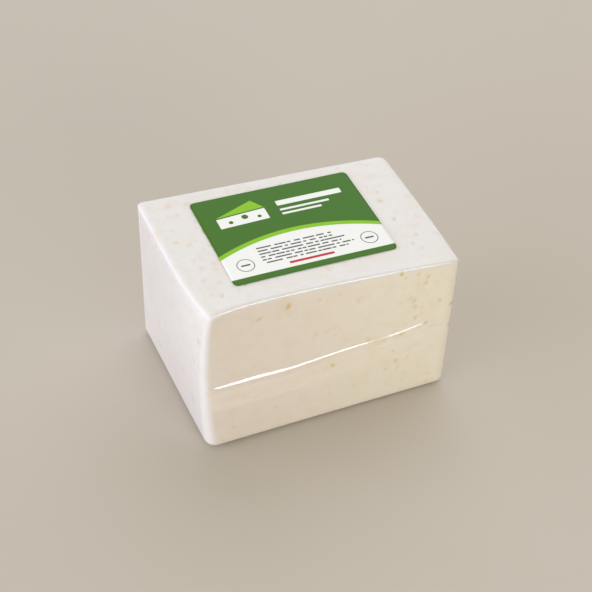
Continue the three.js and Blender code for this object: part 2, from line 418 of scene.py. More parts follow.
# each face: its axis, its side, how many openings, how strong they look, and their lean to one end
OPENING_FACES = {
    "front": (1, -1, 24, 0.4, 1.8),
    "back": (1, 1, 40, 1.0, 1.8),
    "right": (0, 1, 18, 0.9, 1.0),
    "left": (0, -1, 16, 0.25, 1.0),
    "top": (2, 1, 80, 0.8, 1.0),
}
# the largest openings of the front: place along and height, length, width, turn and strength
FRONT_OPENINGS = np.array([
    (-0.0205, 0.0757, 0.0018, 0.0010, 1.3, 1.3),
    (-0.0343, 0.0722, 0.0014, 0.0009, 0.4, 0.8),
    (-0.0053, 0.0749, 0.0012, 0.0007, 1.1, 0.4),
    (0.0361, 0.0763, 0.0009, 0.0006, 0.8, 0.5),
    (0.0478, 0.0743, 0.0013, 0.0008, 1.0, 0.6),
    (0.0396, 0.0632, 0.0014, 0.0009, 0.3, 0.4),
    (0.0418, 0.0610, 0.0016, 0.0010, 1.2, 0.5),
    (0.0435, 0.0501, 0.0014, 0.0008, 1.3, 0.7),
    (0.0386, 0.0472, 0.0010, 0.0007, 0.6, 0.4),
    (0.0370, 0.0413, 0.0019, 0.0010, 0.4, 0.65),
    (0.0278, 0.0398, 0.0024, 0.0012, 0.2, 0.3),
    (0.0417, 0.0251, 0.0009, 0.0007, 0.9, 0.5),
    (0.0369, 0.0194, 0.0014, 0.0008, 0.7, 0.4),
    (0.0304, 0.0204, 0.0012, 0.0008, 1.1, 0.45),
    (0.0463, 0.0427, 0.0009, 0.0006, 0.5, 0.3),
])
# those of the top: place along and across, and the rest as above
TOP_OPENINGS = np.array([
    (0.0451, 0.0068, 0.0016, 0.0010, 2.6, 1.1),
    (0.0457, -0.0077, 0.0012, 0.0008, 1.2, 1.0),
    (0.0465, 0.0136, 0.0011, 0.0008, 2.4, 0.8),
    (0.0507, -0.0211, 0.0011, 0.0008, 0.9, 0.8),
    (0.0467, -0.0265, 0.0010, 0.0008, 0.6, 0.8),
    (0.0498, -0.0306, 0.0009, 0.0007, 0.2, 0.7),
    (-0.0484, -0.0315, 0.0010, 0.0008, 0.5, 0.9),
    (-0.0563, 0.0082, 0.0011, 0.0008, 0.3, 0.8),
    (-0.0496, 0.0264, 0.0010, 0.0008, 1.0, 0.7),
    (-0.0528, -0.0201, 0.0010, 0.0007, 0.4, 0.7),
])
LARGE_OPENING_DEPTH = 0.0004


def in_face(axis, first, second):
    """Vectors that lie in a face: their parts along the two axes other than the face's own one."""
    vectors = np.zeros((len(first), 3))
    vectors[:, [k for k in range(3) if k != axis]] = np.column_stack([first, second])
    return vectors


def scatter_openings():
    """Places on the cube's faces, sizes, turns and strengths, drawn from one seeded generator. A lean
    above 1 crowds the places towards the right end: the even draw is brought to the power 1 / lean."""
    draw = np.random.default_rng(SCATTER_SEED)
    spots = []
    for axis, side, count, strength, lean in OPENING_FACES.values():
        across, up = draw.uniform(*OPENING_SPREAD, (2, count))
        cube = in_face(axis, 2 * across ** (1 / lean) - 1, 2 * up - 1)
        cube[:, axis] = side
        angle = draw.normal(OPENING_TURN, OPENING_TURN_SPREAD, count)
        length = draw.uniform(*OPENING_LENGTH, count)
        width = length * draw.uniform(*OPENING_SHAPE, count)
        depth = draw.uniform(*OPENING_DEPTH, count)
        luck = draw.uniform(*OPENING_STRENGTH, count) ** OPENING_STRENGTH_POWER
        spots.append({"centre": block_form(cube)[0], "along": in_face(axis, np.cos(angle), np.sin(angle)),
                      "normal": np.eye(3)[axis] * side, "length": length, "width": width,
                      "depth": depth, "strength": strength * luck})
    return spots


def measured_openings(axis, side, table):
    """The openings of a table on one face: how deep they lie along the face's axis comes from the
    block's form at the same place."""
    first, second, length, width, angle, strength = table.T
    place = in_face(axis, first, second)
    cube = (place - [0, 0, BLOCK_HALF[2]]) / BLOCK_HALF
    cube[:, axis] = side
    centre = place + form_shift
    centre[:, axis] = block_form(cube)[0][:, axis]
    return {"centre": centre, "along": in_face(axis, np.cos(angle), np.sin(angle)),
            "normal": np.eye(3)[axis] * side, "length": length, "width": width,
            "depth": np.full(len(table), LARGE_OPENING_DEPTH), "strength": strength}


def openings_at(points, spots):
    """Depth and mark of the openings at each point: the sum and the strongest of their bells, a bell
    being exp(-(a2 + b2)) with a and b the distances along and across, in lengths and widths."""
    depth, mark = np.zeros(len(points)), np.zeros(len(points))
    for face in spots:
        across = np.cross(face["normal"], face["along"])
        for k in range(len(face["length"])):
            away = points - face["centre"][k]
            near = np.abs(away @ face["normal"]) < FACE_REACH
            a = away[near] @ face["along"][k] / face["length"][k]
            b = away[near] @ across[k] / face["width"][k]
            bell = np.exp(-(a * a + b * b))
            depth[near] += face["depth"][k] * bell
            mark[near] = np.maximum(mark[near], face["strength"][k] * bell)
    return depth, mark


openings = scatter_openings()
openings += [measured_openings(1, -1, FRONT_OPENINGS), measured_openings(2, 1, TOP_OPENINGS)]
counts = [len(spots["length"]) for spots in openings]
print("openings:", counts, "on", list(OPENING_FACES), "and of the two tables")

# %% Make the cheese
CHEESE_EDGE_ROWS = 8
CHEESE_MIDDLE_ROWS = (160, 80, 104)
LONG_SIDE_TILT = (0.7, 1.0)
LONG_SIDE_RIM_FADE = 0.0045


def make_cheese():
    """The block's form, drawn in by the film's room and by the depth of the openings. Attributes mark
    the openings and the long sides, where the material paints warm shade. The long sides' mark fades
    out towards their upper and left rims."""
    rows = [face_rows(h, CHEESE_EDGE_ROWS, n) for h, n in zip(BLOCK_HALF, CHEESE_MIDDLE_ROWS)]
    cube, quads = cube_skin(rows)
    points, outward = block_form(cube)
    depth, mark = openings_at(points, openings)
    points -= outward * (FILM_ROOM + depth)[:, None]
    piece = mesh_piece("cheese", points, quads, white_cheese)
    to_rim = (1 + cube[:, 0]) * BLOCK_HALF[0], (1 - cube[:, 2]) * BLOCK_HALF[2]
    # the long sides' mark, which carries the painted warm shade, fades out towards their upper and left
    # rims
    long_side = smooth_step(np.abs(outward[:, 1]), *LONG_SIDE_TILT)
    long_side *= smooth_step(np.minimum(*to_rim), 0, LONG_SIDE_RIM_FADE)
    set_attribute(piece, "opening", mark)
    set_attribute(piece, "long_side", long_side)
    return piece


cheese = make_cheese()
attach(cheese, "root")
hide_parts("sealed_block")

# %% [markdown]
# ## The film
# The bag is a clear tube of film that was shrunk onto the block by hot water, so it lies close and
# bridges the openings. It shows by its gloss: a bright line along the edges, and a pinched crease along
# the long sides. Along the top's left and front edges and at the front left corner, a pale bluish haze
# is painted on it. This is a painted sheen, standing in for the film's reflection of cool light. In the
# weak folds under the crease, a warmer haze paints light bands. It is partly the film's milkiness where
# it is folded and partly a painted sheen. The rows of the grid are crowded at the crease and run along
# it, so a thin ridge needs no more faces than a wide one. Clear film casts no shadow worth seeing, so
# its shadow is turned off, which also keeps the cheese behind it bright.

# %% The creases as functions of the place
CREASE_MIDDLE_HEIGHT = 0.0405
CREASE_SLOPE = 0.0736
CREASE_CURVE = 0.54
CREASE_FLANK = 0.62
CREASE_TOE = 0.25
CREASE_DROP_WIDTH = 0.0006
CREASE_START, CREASE_FULL = -0.0590, -0.0560
CREASE_FADE, CREASE_END = 0.044, 0.060
CREASE_GAP, CREASE_GAP_REACH, CREASE_GAP_LOSS = 0.0245, 0.0050, 0.6
# width of the main crease's upper flank along the block
CREASE_PLACES = np.array([-0.059, -0.057, -0.055, -0.049, -0.043, -0.036, -0.026, -0.016, 0, 0.03, 0.06])
CREASE_WIDTHS = np.array([0.2, 0.55, 0.9, 1.15, 1.4, 1.65, 1.45, 1.1, 0.95, 0.85, 0.6]) / 1000
CREASE_WAVE, CREASE_WAVE_LENGTH, CREASE_WAVE_LOW = 0.00045, 0.052, -0.020
CREASE_WAVE_START, CREASE_WAVE_FULL = -0.045, -0.025
# weaker folds under the main one: how far below it, their rise, half width and reach from the left
MINOR_CREASES = [
    (0.0050, 0.00022, 0.0024, 0.085),
    (0.0090, 0.00018, 0.0085, 0.085),
    (0.0126, 0.00018, 0.0042, 0.075),
]


def crease_height(x):
    """Height of the crease: a line that rises to the right, with a slight bow and a slight wave."""
    wave = CREASE_WAVE * np.cos(2 * np.pi * (x - CREASE_WAVE_LOW) / CREASE_WAVE_LENGTH)
    wave *= smooth_step(x, CREASE_WAVE_START, CREASE_WAVE_FULL)
    return CREASE_MIDDLE_HEIGHT + CREASE_SLOPE * x + CREASE_CURVE * x * x - wave


def half_wave(away, width):
    """A soft bump: a cosine wave over the width on both sides, and 0 outside."""
    return np.where(np.abs(away) < width, (1 + np.cos(np.pi * away / width)) / 2, 0)


def main_crease(x, away):
    """The pinched fold: from above it rises like a ramp with a soft toe, as steep all along the block,
    so that its height goes with its width, and below the crest it drops back within the drop width.
    It starts near the left end, is weaker in a gap, and fades towards the right."""
    width = np.interp(x, CREASE_PLACES, CREASE_WIDTHS)
    width *= 1 - CREASE_GAP_LOSS * np.exp(-((x - CREASE_GAP) / CREASE_GAP_REACH) ** 2)
    ends = smooth_step(x, CREASE_START, CREASE_FULL) * (1 - smooth_step(x, CREASE_FADE, CREASE_END))
    ramp = np.clip(1 - away / width, 0, 1)
    ramp = np.where(ramp < CREASE_TOE, ramp**2 / (2 * CREASE_TOE), ramp - CREASE_TOE / 2)
    drop = (1 - CREASE_TOE / 2) * smooth_step(away, -CREASE_DROP_WIDTH, 0)
    return CREASE_FLANK * width * ends * np.where(away > 0, ramp, drop)


def minor_creases(x, away):
    """The weaker folds along the main one, which fade with the distance from the left."""
    from_left = x + BLOCK_HALF[0]
    rise = np.zeros(len(x))
    for below, minor_rise, half_width, reach in MINOR_CREASES:
        fade = np.exp(-(from_left / reach) ** 2)
        rise += minor_rise * fade * half_wave(away + below, half_width)
    return rise


print("crease height at the left, middle and right:", crease_height(np.array([-0.05, 0, 0.05])).round(4))

# %% The film's finish
# the film's tint is bluish, so its gloss and the painted sheen along its edges look cool; the folds' colour
# is warm, for a haze there that is partly milkiness and partly painted sheen
FILM_GLOSS_AND_SHEEN_COLOUR = (0.84, 0.89, 1.0, 1)
FOLD_HAZE_AND_SHEEN_COLOUR = (0.99, 0.97, 0.935, 1)
FILM_IOR = 1.5
STAND_OFF_GAIN = 2.0


def film_material():
    """Clear film: see-through, with a mirror's share that grows towards the rim by Fresnel's law. Where
    the film stands off the cheese, its inner face and the second layer of the fold mirror as well, so
    the share grows to three times. A haze is added to the share as a diffuse colour. Along the edges it
    is bluish, a painted sheen. In the folds it is warm, partly milkiness and partly painted sheen."""
    material, tree = new_material("clear film")
    # the node turns the index over for rays from inside, so it is given turned over there
    inside = add_node(tree, "ShaderNodeNewGeometry").outputs["Backfacing"]
    index = calc(tree, "MULTIPLY_ADD", inside, 1 / FILM_IOR - FILM_IOR, FILM_IOR)
    mirror = add_node(tree, "ShaderNodeFresnel", {"IOR": index}).outputs[0]
    gain = calc(tree, "MULTIPLY_ADD", read_attribute(tree, "stand_off"), STAND_OFF_GAIN, 1.0)
    # the haze is a diffuse colour in the share: painted sheen along the edges, partly painted sheen in the
    # folds
    haze_and_sheen = read_attribute(tree, "haze_and_sheen")
    share = calc(tree, "ADD", calc(tree, "MULTIPLY", mirror, gain), haze_and_sheen, clamp=True)
    metal = calc(tree, "SUBTRACT", 1.0, calc(tree, "DIVIDE", haze_and_sheen, share))
    colour = blend_colours(tree, read_attribute(tree, "fold"), FILM_GLOSS_AND_SHEEN_COLOUR, FOLD_HAZE_AND_SHEEN_COLOUR)
    clear = add_node(tree, "ShaderNodeBsdfTransparent")
    gloss = add_node(tree, "ShaderNodeBsdfPrincipled", {
        "Base Color": colour, "Metallic": metal, "Roughness": read_attribute(tree, "roughness")})
    mixed = add_node(tree, "ShaderNodeMixShader", {0: share, 1: clear.outputs[0], 2: gloss.outputs[0]})
    return show_shader(material, mixed)


clear_film = film_material()
print("material:", clear_film.name)

# %% Make the film
FILM_EDGE_ROWS = 10
FILM_LEVEL_EDGE_ROWS = 7
FILM_WIDTH_ROWS = 110
FILM_DEPTH_ROWS = 40
CREASE_BAND = (-0.0180, -0.0010, 0.0036)
CREASE_BAND_ROWS = (46, 46)
FILM_LOW_ROWS, FILM_HIGH_ROWS = 16, 26
SIDE_FACE_POWER = 40
UNDERSIDE_TILT = -0.5
EDGE_TILT = (0.2, 0.5)
STAND_OFF_FULL = 0.0003
EDGE_STAND_OFF_LEFT, EDGE_STAND_OFF_RIGHT = 0.8, 0.5
FILM_ROUGHNESS, EDGE_ROUGHNESS = 0.12, 0.45
# a pale bluish haze is painted as sheen along the top's left and front edges and at the front left corner;
# in the folds the haze is partly milkiness and partly painted sheen
LEFT_SHEEN, LEFT_SHEEN_REACH = 0.07, 0.0060
FRONT_SHEEN_LEFT, FRONT_SHEEN_RIGHT, FRONT_SHEEN_REACH = 0.07, 0.15, 0.0040
FRONT_SHEEN_FULL = 0.2
CORNER_SHEEN, CORNER_SHEEN_REACH, CORNER_SHEEN_DEPTH = 0.14, 0.0050, 0.0025
FOLD_HAZE_AND_SHEEN, FOLD_RISE_FULL, FOLD_TINT_FULL = 0.27, 0.0004, 0.3
RIPPLE_SEED = 3
RIPPLE_WAVES = 9
RIPPLE_LENGTHS = (0.012, 0.045)
RIPPLE_RISE = 0.00005


def film_side_rows():
    """Rows up the sides: crowded over the band of the creases, and graded over the round edges."""
    half = BLOCK_HALF[2]
    low, high = -1 + BOTTOM_RADIUS / half, 1 - TOP_RADIUS / half
    band = (CREASE_MIDDLE_HEIGHT + np.array(CREASE_BAND)) / half - 1
    return np.concatenate([
        np.linspace(-1, low, FILM_LEVEL_EDGE_ROWS, endpoint=False),
        np.linspace(low, band[0], FILM_LOW_ROWS, endpoint=False),
        np.linspace(band[0], band[1], CREASE_BAND_ROWS[0], endpoint=False),
        np.linspace(band[1], band[2], CREASE_BAND_ROWS[1], endpoint=False),
        np.linspace(band[2], high, FILM_HIGH_ROWS, endpoint=False),
        np.linspace(high, 1, FILM_LEVEL_EDGE_ROWS + 1)])


def follow_crease(cube):
    """Rows moved up or down so that they run along the crease: all of the crease's own lift at its
    level, and less of it towards the top and the bottom."""
    level = CREASE_MIDDLE_HEIGHT / BLOCK_HALF[2] - 1
    lift = crease_height(cube[:, 0] * BLOCK_HALF[0]) / BLOCK_HALF[2] - 1 - level
    share = np.where(cube[:, 2] < level, (1 + cube[:, 2]) / (1 + level), (1 - cube[:, 2]) / (1 - level))
    moved = cube.copy()
    moved[:, 2] += share * lift
    return moved


def ripples(points):
    """Slight waves of the film: a sum of sines along seeded directions, each of its own length."""
    draw = np.random.default_rng(RIPPLE_SEED)
    way = draw.normal(size=(RIPPLE_WAVES, 3))
    way /= np.linalg.norm(way, axis=1)[:, None]
    way *= 2 * np.pi / draw.uniform(*RIPPLE_LENGTHS, (RIPPLE_WAVES, 1))
    start = draw.uniform(0, 2 * np.pi, RIPPLE_WAVES)
    return RIPPLE_RISE * np.sin(points @ way.T + start).mean(1)


def film_haze_and_sheen(cube, minor_rise):
    """Haze of the film, the strongest of four. Three are bells over distances: from the top's left edge,
    from its front edge, on the top only, and from the front left corner, on the front only. These three
    are a painted bluish sheen. The fourth is a share of the folds' rise, partly milkiness and partly
    painted sheen. The second of them grows towards the right. Also the film's roughness, which grows by
    the first bell, and where the folds tint it."""
    to_left, to_front, to_top = ((1 + cube * [1, 1, -1]) * BLOCK_HALF).T
    left_bell = np.exp(-(((to_left + to_top) / LEFT_SHEEN_REACH) ** 2))
    on_top = 1 - smooth_step(to_top, 0, TOP_RADIUS)
    front_bell = on_top * np.exp(-((to_front / FRONT_SHEEN_REACH) ** 2))
    front_bell *= np.interp(cube[:, 0], [-1, FRONT_SHEEN_FULL], [FRONT_SHEEN_LEFT, FRONT_SHEEN_RIGHT])
    on_front = 1 - smooth_step(to_front, 0, CORNER_SHEEN_DEPTH)
    corner_bell = on_front * np.exp(-((to_left / CORNER_SHEEN_REACH) ** 2))
    folded = np.clip(minor_rise / FOLD_RISE_FULL, 0, 1)
    # the edge bells paint a bluish sheen; the folds' share is partly milkiness, partly painted sheen
    haze_and_sheen = np.max([LEFT_SHEEN * left_bell, front_bell, CORNER_SHEEN * corner_bell,
                   FOLD_HAZE_AND_SHEEN * folded], axis=0)
    return haze_and_sheen, FILM_ROUGHNESS + EDGE_ROUGHNESS * left_bell, smooth_step(folded, 0, FOLD_TINT_FULL)


def make_film():
    """The block's form with the creases of the long sides and slight ripples, flat underneath. Its
    attributes tell where it stands off the cheese, at the main crease and along the top's long edges.
    They also tell where it carries haze and painted sheen, where it is rough, and where it is folded."""
    rows = [face_rows(BLOCK_HALF[0], FILM_EDGE_ROWS, FILM_WIDTH_ROWS),
            face_rows(BLOCK_HALF[1], FILM_EDGE_ROWS, FILM_DEPTH_ROWS),
            film_side_rows()]
    cube, quads = cube_skin(rows)
    cube = follow_crease(cube)
    points, outward = block_form(cube)
    x, z = (points - form_shift)[:, 0], points[:, 2]
    away = z - crease_height(x)
    on_side = np.abs(outward[:, 1]) ** SIDE_FACE_POWER
    main_rise, minor_rise = on_side * main_crease(x, away), on_side * minor_creases(x, away)
    points += outward * (ripples(points) * (outward[:, 2] > UNDERSIDE_TILT))[:, None]
    points[:, 1] += np.sign(outward[:, 1]) * (main_rise + minor_rise)
    piece = mesh_piece("film", points, quads, clear_film)
    at_edge = smooth_step(np.abs(outward[:, 1]), *EDGE_TILT) * smooth_step(outward[:, 2], *EDGE_TILT)
    at_edge *= np.interp(cube[:, 0], [-1, 1], [EDGE_STAND_OFF_LEFT, EDGE_STAND_OFF_RIGHT])
    stand_off = np.maximum(np.clip(main_rise / STAND_OFF_FULL, 0, 1), at_edge)
    set_attribute(piece, "stand_off", stand_off)
    for name, values in zip(("haze_and_sheen", "roughness", "fold"), film_haze_and_sheen(cube, minor_rise)):
        set_attribute(piece, name, values)
    return piece


film = make_film()
film.visible_shadow = False
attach(film, "root")
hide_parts("sealed_block")

# %% [markdown]
# ## The label's print
# The label is coated paper, printed in dark green, lime and white. Its print is plain fields and
# simple shapes: a green field over a white one with a lime arc between them, a drawn wedge of cheese
# beside white bars, and grey rows in place of small print. Every shape is a sum on the label's own UV
# map, in millimetres, so it stays sharp at any distance, which a painted image wouldn't.

# %% Groups for flat shapes
PRINT_EDGE_MM = 0.08
ROW_EDGE = 0.04
ROW_SEED_STEP, DASH_SEED_STEP = 7.31, 13.7
ROW_MOST_LOST = 0.22
DASH_SCALE, DASH_LOW, DASH_HIGH = 0.42, 0.36, 0.42


def bar_group():
    """A bar with round ends: how far a point lies outside an inner box, less the corner radius; the
    mask is 1 inside, 0 outside, and soft over the print's edge."""
    tree, given, made = new_group(
        "printed bar",
        [("X", FLOAT, 0), ("Y", FLOAT, 0), ("Centre X", FLOAT, 0), ("Centre Y", FLOAT, 0),
         ("Half width", FLOAT, 1), ("Half height", FLOAT, 1), ("Corner", FLOAT, 0.5)],
        [("Mask", FLOAT), ("Distance", FLOAT)])
    sides = []
    for place, centre, half in (("X", "Centre X", "Half width"), ("Y", "Centre Y", "Half height")):
        away = calc(tree, "ABSOLUTE", calc(tree, "SUBTRACT", given[place], given[centre]))
        inner = calc(tree, "SUBTRACT", given[half], given["Corner"])
        past = calc(tree, "MAXIMUM", calc(tree, "SUBTRACT", away, inner), 0.0)
        sides.append(calc(tree, "POWER", past, 2.0))
    reach = calc(tree, "SQRT", calc(tree, "ADD", *sides))
    distance = calc(tree, "SUBTRACT", reach, given["Corner"])
    outside = step_up(tree, distance, -PRINT_EDGE_MM, PRINT_EDGE_MM)
    tree.links.new(calc(tree, "SUBTRACT", 1.0, outside), made["Mask"])
    tree.links.new(distance, made["Distance"])
    return tree


def small_print_group():
    """Rows of grey dashes in place of small print: the place down the label, folded at the row spacing,
    gives the rows, a share of each row's end is lost by its own luck, and noise along the row cuts it
    into dashes of uneven lengths."""
    tree, given, made = new_group(
        "small print rows",
        [("X", FLOAT, 0), ("Y", FLOAT, 0), ("Left", FLOAT, 0), ("Right", FLOAT, 1), ("Top", FLOAT, 0),
         ("Rows", FLOAT, 3), ("Spacing", FLOAT, 2.4), ("Letter height", FLOAT, 1.2), ("Seed", FLOAT, 0)],
        [("Mask", FLOAT)])
    down = calc(tree, "DIVIDE", calc(tree, "SUBTRACT", given["Y"], given["Top"]), given["Spacing"])
    row = calc(tree, "FLOOR", down)
    offset = calc(tree, "ABSOLUTE", calc(tree, "SUBTRACT", calc(tree, "FRACT", down), 0.5))
    tall = calc(tree, "DIVIDE", given["Letter height"], calc(tree, "MULTIPLY", given["Spacing"], 2.0))
    past_row = step_up(tree, calc(tree, "SUBTRACT", offset, tall), -ROW_EDGE, ROW_EDGE)
    in_row = calc(tree, "SUBTRACT", 1.0, past_row)
    counted = calc(tree, "MULTIPLY", calc(tree, "GREATER_THAN", row, -0.5),
                   calc(tree, "LESS_THAN", row, calc(tree, "SUBTRACT", given["Rows"], 0.5)))
    row_seed = calc(tree, "MULTIPLY_ADD", row, ROW_SEED_STEP, given["Seed"])
    luck = add_node(tree, "ShaderNodeTexWhiteNoise", {"W": row_seed},
                    noise_dimensions="1D").outputs["Value"]
    length = calc(tree, "SUBTRACT", given["Right"], given["Left"])
    lost = calc(tree, "MULTIPLY", luck, calc(tree, "MULTIPLY", ROW_MOST_LOST, length))
    end = calc(tree, "SUBTRACT", given["Right"], lost)
    inside = calc(tree, "MULTIPLY", calc(tree, "GREATER_THAN", given["X"], given["Left"]),
                  calc(tree, "LESS_THAN", given["X"], end))
    along = calc(tree, "MULTIPLY_ADD", row_seed, DASH_SEED_STEP, given["X"])
    noise = add_node(tree, "ShaderNodeTexNoise", {"W": along, "Scale": DASH_SCALE, "Detail": 0.0},
                     noise_dimensions="1D").outputs["Fac"]
    dash = step_up(tree, noise, DASH_LOW, DASH_HIGH)
    row_mask = calc(tree, "MULTIPLY", in_row, counted)
    dash_mask = calc(tree, "MULTIPLY", inside, dash)
    tree.links.new(calc(tree, "MULTIPLY", row_mask, dash_mask), made["Mask"])
    return tree


printed_bar = bar_group()
small_print = small_print_group()
print("node groups:", printed_bar.name, "and", small_print.name)

# %% The label's material
LABEL_WIDTH_MM, LABEL_DEPTH_MM = 80.0, 60.7
PRINT_GREEN = (0.056, 0.178, 0.008, 1)
PRINT_LIME = (0.275, 0.590, 0.010, 1)
PAPER_WHITE = (0.985, 0.97, 0.935, 1)
PRINT_GREY = (0.09, 0.09, 0.10, 1)
PRINT_RED = (0.62, 0.03, 0.05, 1)
COAT_LEAST_ROUGHNESS, COAT_ROUGHNESS_SPREAD = 0.34, 0.12
ARC_END_MM, ARC_RISE_MM = 40.5, 9.0
LIME_MM = 2.6
STRIP_TOP_MM = 57.2
# the printed wedge: corners in turn, in millimetres from the label's back left corner
WEDGE_TOP = [(8.0, 14.6), (28.0, 6.6), (32.5, 13.0)]
WEDGE_SIDE = [(8.0, 15.4), (32.5, 13.8), (32.5, 21.6), (8.0, 22.4)]
WEDGE_HOLES = [(14.0, 19.2, 1.1), (21.5, 17.2, 1.6), (28.3, 18.8, 1.0)]
# bars: middle, half sizes and corner radius, in millimetres
TITLE_BARS = [(55.5, 12.6, 16.5, 1.8, 0.5), (51.5, 17.6, 12.5, 0.7, 0.5), (49.0, 20.6, 10.0, 0.7, 0.5)]
RED_BAR = (40.0, 54.2, 11.0, 0.75, 0.4)
SMALL_PRINT = {"Left": 18.0, "Right": 64.0, "Top": 39.4, "Rows": 6.0, "Spacing": 2.1,
               "Letter height": 0.85, "Seed": 2.0}
# round marks at the foot: their middles, their ring, and a bar in each
MARKS = [(9.5, 49.6), (70.5, 49.6)]
MARK_RADIUS, MARK_HALF_LINE = 4.0, 0.2
MARK_BAR = (2.2, 0.5, 0.3)


def label_material():
    """Fields and shapes of the print, each laid over the one before by its own mask."""
    material, tree = new_material("printed label")
    uv = add_node(tree, "ShaderNodeUVMap", uv_map="label").outputs[0]
    parts = add_node(tree, "ShaderNodeSeparateXYZ", {0: uv}).outputs
    x = calc(tree, "MULTIPLY", parts["X"], LABEL_WIDTH_MM)
    y = calc(tree, "MULTIPLY", calc(tree, "SUBTRACT", 1.0, parts["Y"]), LABEL_DEPTH_MM)

    def bar(centre_x, centre_y, half_width, half_height, corner):
        """The mask and the distance of one bar."""
        return use_group(tree, printed_bar, {
            "X": x, "Y": y, "Centre X": centre_x, "Centre Y": centre_y,
            "Half width": half_width, "Half height": half_height, "Corner": corner})

    def polygon(corners):
        """A mask: the product of soft steps over the distances from the lines of the sides."""
        inside = 1.0
        for (x0, y0), (x1, y1) in zip(corners, corners[1:] + corners[:1]):
            length = np.hypot(x1 - x0, y1 - y0)
            across, down = (y0 - y1) / length, (x1 - x0) / length
            offset = calc(tree, "MULTIPLY_ADD", x, across, -(x0 * across + y0 * down))
            distance = calc(tree, "MULTIPLY_ADD", y, down, offset)
            inside = calc(tree, "MULTIPLY", inside, step_up(tree, distance, -PRINT_EDGE_MM, PRINT_EDGE_MM))
        return inside

    def ring(distance, half_line):
        """A mask: a line of a given half width where the distance is 0."""
        off = calc(tree, "SUBTRACT", calc(tree, "ABSOLUTE", distance), half_line)
        return calc(tree, "SUBTRACT", 1.0, step_up(tree, off, -PRINT_EDGE_MM, PRINT_EDGE_MM))

    # the arc between the fields: a parabola over the label's width, highest in the middle
    off_middle = calc(tree, "MULTIPLY_ADD", x, 2 / LABEL_WIDTH_MM, -1.0)
    bow = calc(tree, "POWER", off_middle, 2.0)
    arc = calc(tree, "MULTIPLY_ADD", bow, ARC_RISE_MM, ARC_END_MM - ARC_RISE_MM)
    past_arc = calc(tree, "SUBTRACT", y, arc)
    past_green = step_up(tree, past_arc, -PRINT_EDGE_MM, PRINT_EDGE_MM)
    past_lime = step_up(tree, past_arc, LIME_MM - PRINT_EDGE_MM, LIME_MM + PRINT_EDGE_MM)
    strip = step_up(tree, y, STRIP_TOP_MM - PRINT_EDGE_MM, STRIP_TOP_MM + PRINT_EDGE_MM)
    colour = blend_colours(tree, past_green, PRINT_GREEN, PRINT_LIME)
    colour = blend_colours(tree, past_lime, colour, PAPER_WHITE)
    colour = blend_colours(tree, strip, colour, PRINT_GREEN)

    # a wedge of cheese in the green field: its top, its side, and holes in the side
    colour = blend_colours(tree, polygon(WEDGE_TOP), colour, PRINT_LIME)
    colour = blend_colours(tree, polygon(WEDGE_SIDE), colour, PAPER_WHITE)
    for centre_x, centre_y, radius in WEDGE_HOLES:
        hole = bar(centre_x, centre_y, radius, radius, radius)["Mask"]
        colour = blend_colours(tree, hole, colour, PRINT_GREEN)
    for title_bar in TITLE_BARS:
        colour = blend_colours(tree, bar(*title_bar)["Mask"], colour, PAPER_WHITE)

    # rows of small print, a red bar, and a round mark at each side of them
    rows = use_group(tree, small_print, {"X": x, "Y": y, **SMALL_PRINT})["Mask"]
    colour = blend_colours(tree, rows, colour, PRINT_GREY)
    colour = blend_colours(tree, bar(*RED_BAR)["Mask"], colour, PRINT_RED)
    for centre_x, centre_y in MARKS:
        circle = bar(centre_x, centre_y, MARK_RADIUS, MARK_RADIUS, MARK_RADIUS)["Distance"]
        colour = blend_colours(tree, ring(circle, MARK_HALF_LINE), colour, PRINT_GREY)
        colour = blend_colours(tree, bar(centre_x, centre_y, *MARK_BAR)["Mask"], colour, PRINT_GREY)

    coat = add_node(tree, "ShaderNodeTexNoise", {"Vector": uv, "Scale": 60.0, "Detail": 2.0}).outputs["Fac"]
    rough = calc(tree, "MULTIPLY_ADD", coat, COAT_ROUGHNESS_SPREAD, COAT_LEAST_ROUGHNESS)
    shader = add_node(tree, "ShaderNodeBsdfPrincipled", {
        "Base Color": colour, "Roughness": rough, "IOR": 1.45, "Specular IOR Level": 0.2})
    return show_shader(material, shader)


printed_label = label_material()
print("material:", printed_label.name, "with", len(printed_label.node_tree.nodes), "nodes")

# %% [markdown]
# ## The label
# A slip of paper with round corners, stuck to the film. It could be a plane with a Shrinkwrap
# modifier, but the top's height is known as a function, so the grid is laid on it directly.

# %% Make the label
LABEL_HALF = np.array([LABEL_WIDTH_MM, LABEL_DEPTH_MM]) / 1000 / 2
LABEL_CORNER = 0.0024
LABEL_TURN = np.radians(0.5)
LABEL_LIFT, LABEL_THICKNESS = 0.0001, 0.0002
LABEL_WIDTH_ROWS, LABEL_DEPTH_ROWS, LABEL_CORNER_ROWS = 64, 40, 10
CLOSING_STEPS = 4


def top_height(place):
    """Height of the block's top at places in the frame: cube coordinates are corrected by what is
    missing to the place, a few times over."""
    target = place - form_shift[:2]
    cube = np.column_stack([target / BLOCK_HALF[:2], np.ones(len(place))])
    for _ in range(CLOSING_STEPS):
        cube[:, :2] += (place - block_form(cube)[0][:, :2]) / BLOCK_HALF[:2]
    return block_form(cube)[0][:, 2]


def label_rows():
    """Rows from front to back: even on the straight sides, and at equal turns of the corner arcs."""
    straight = 1 - LABEL_CORNER / LABEL_HALF[1]
    arc = straight + (1 - straight) * np.sin(np.linspace(0, np.pi / 2, LABEL_CORNER_ROWS + 1))
    return np.concatenate([-arc[::-1], np.linspace(-straight, straight, LABEL_DEPTH_ROWS + 1)[1:-1], arc])


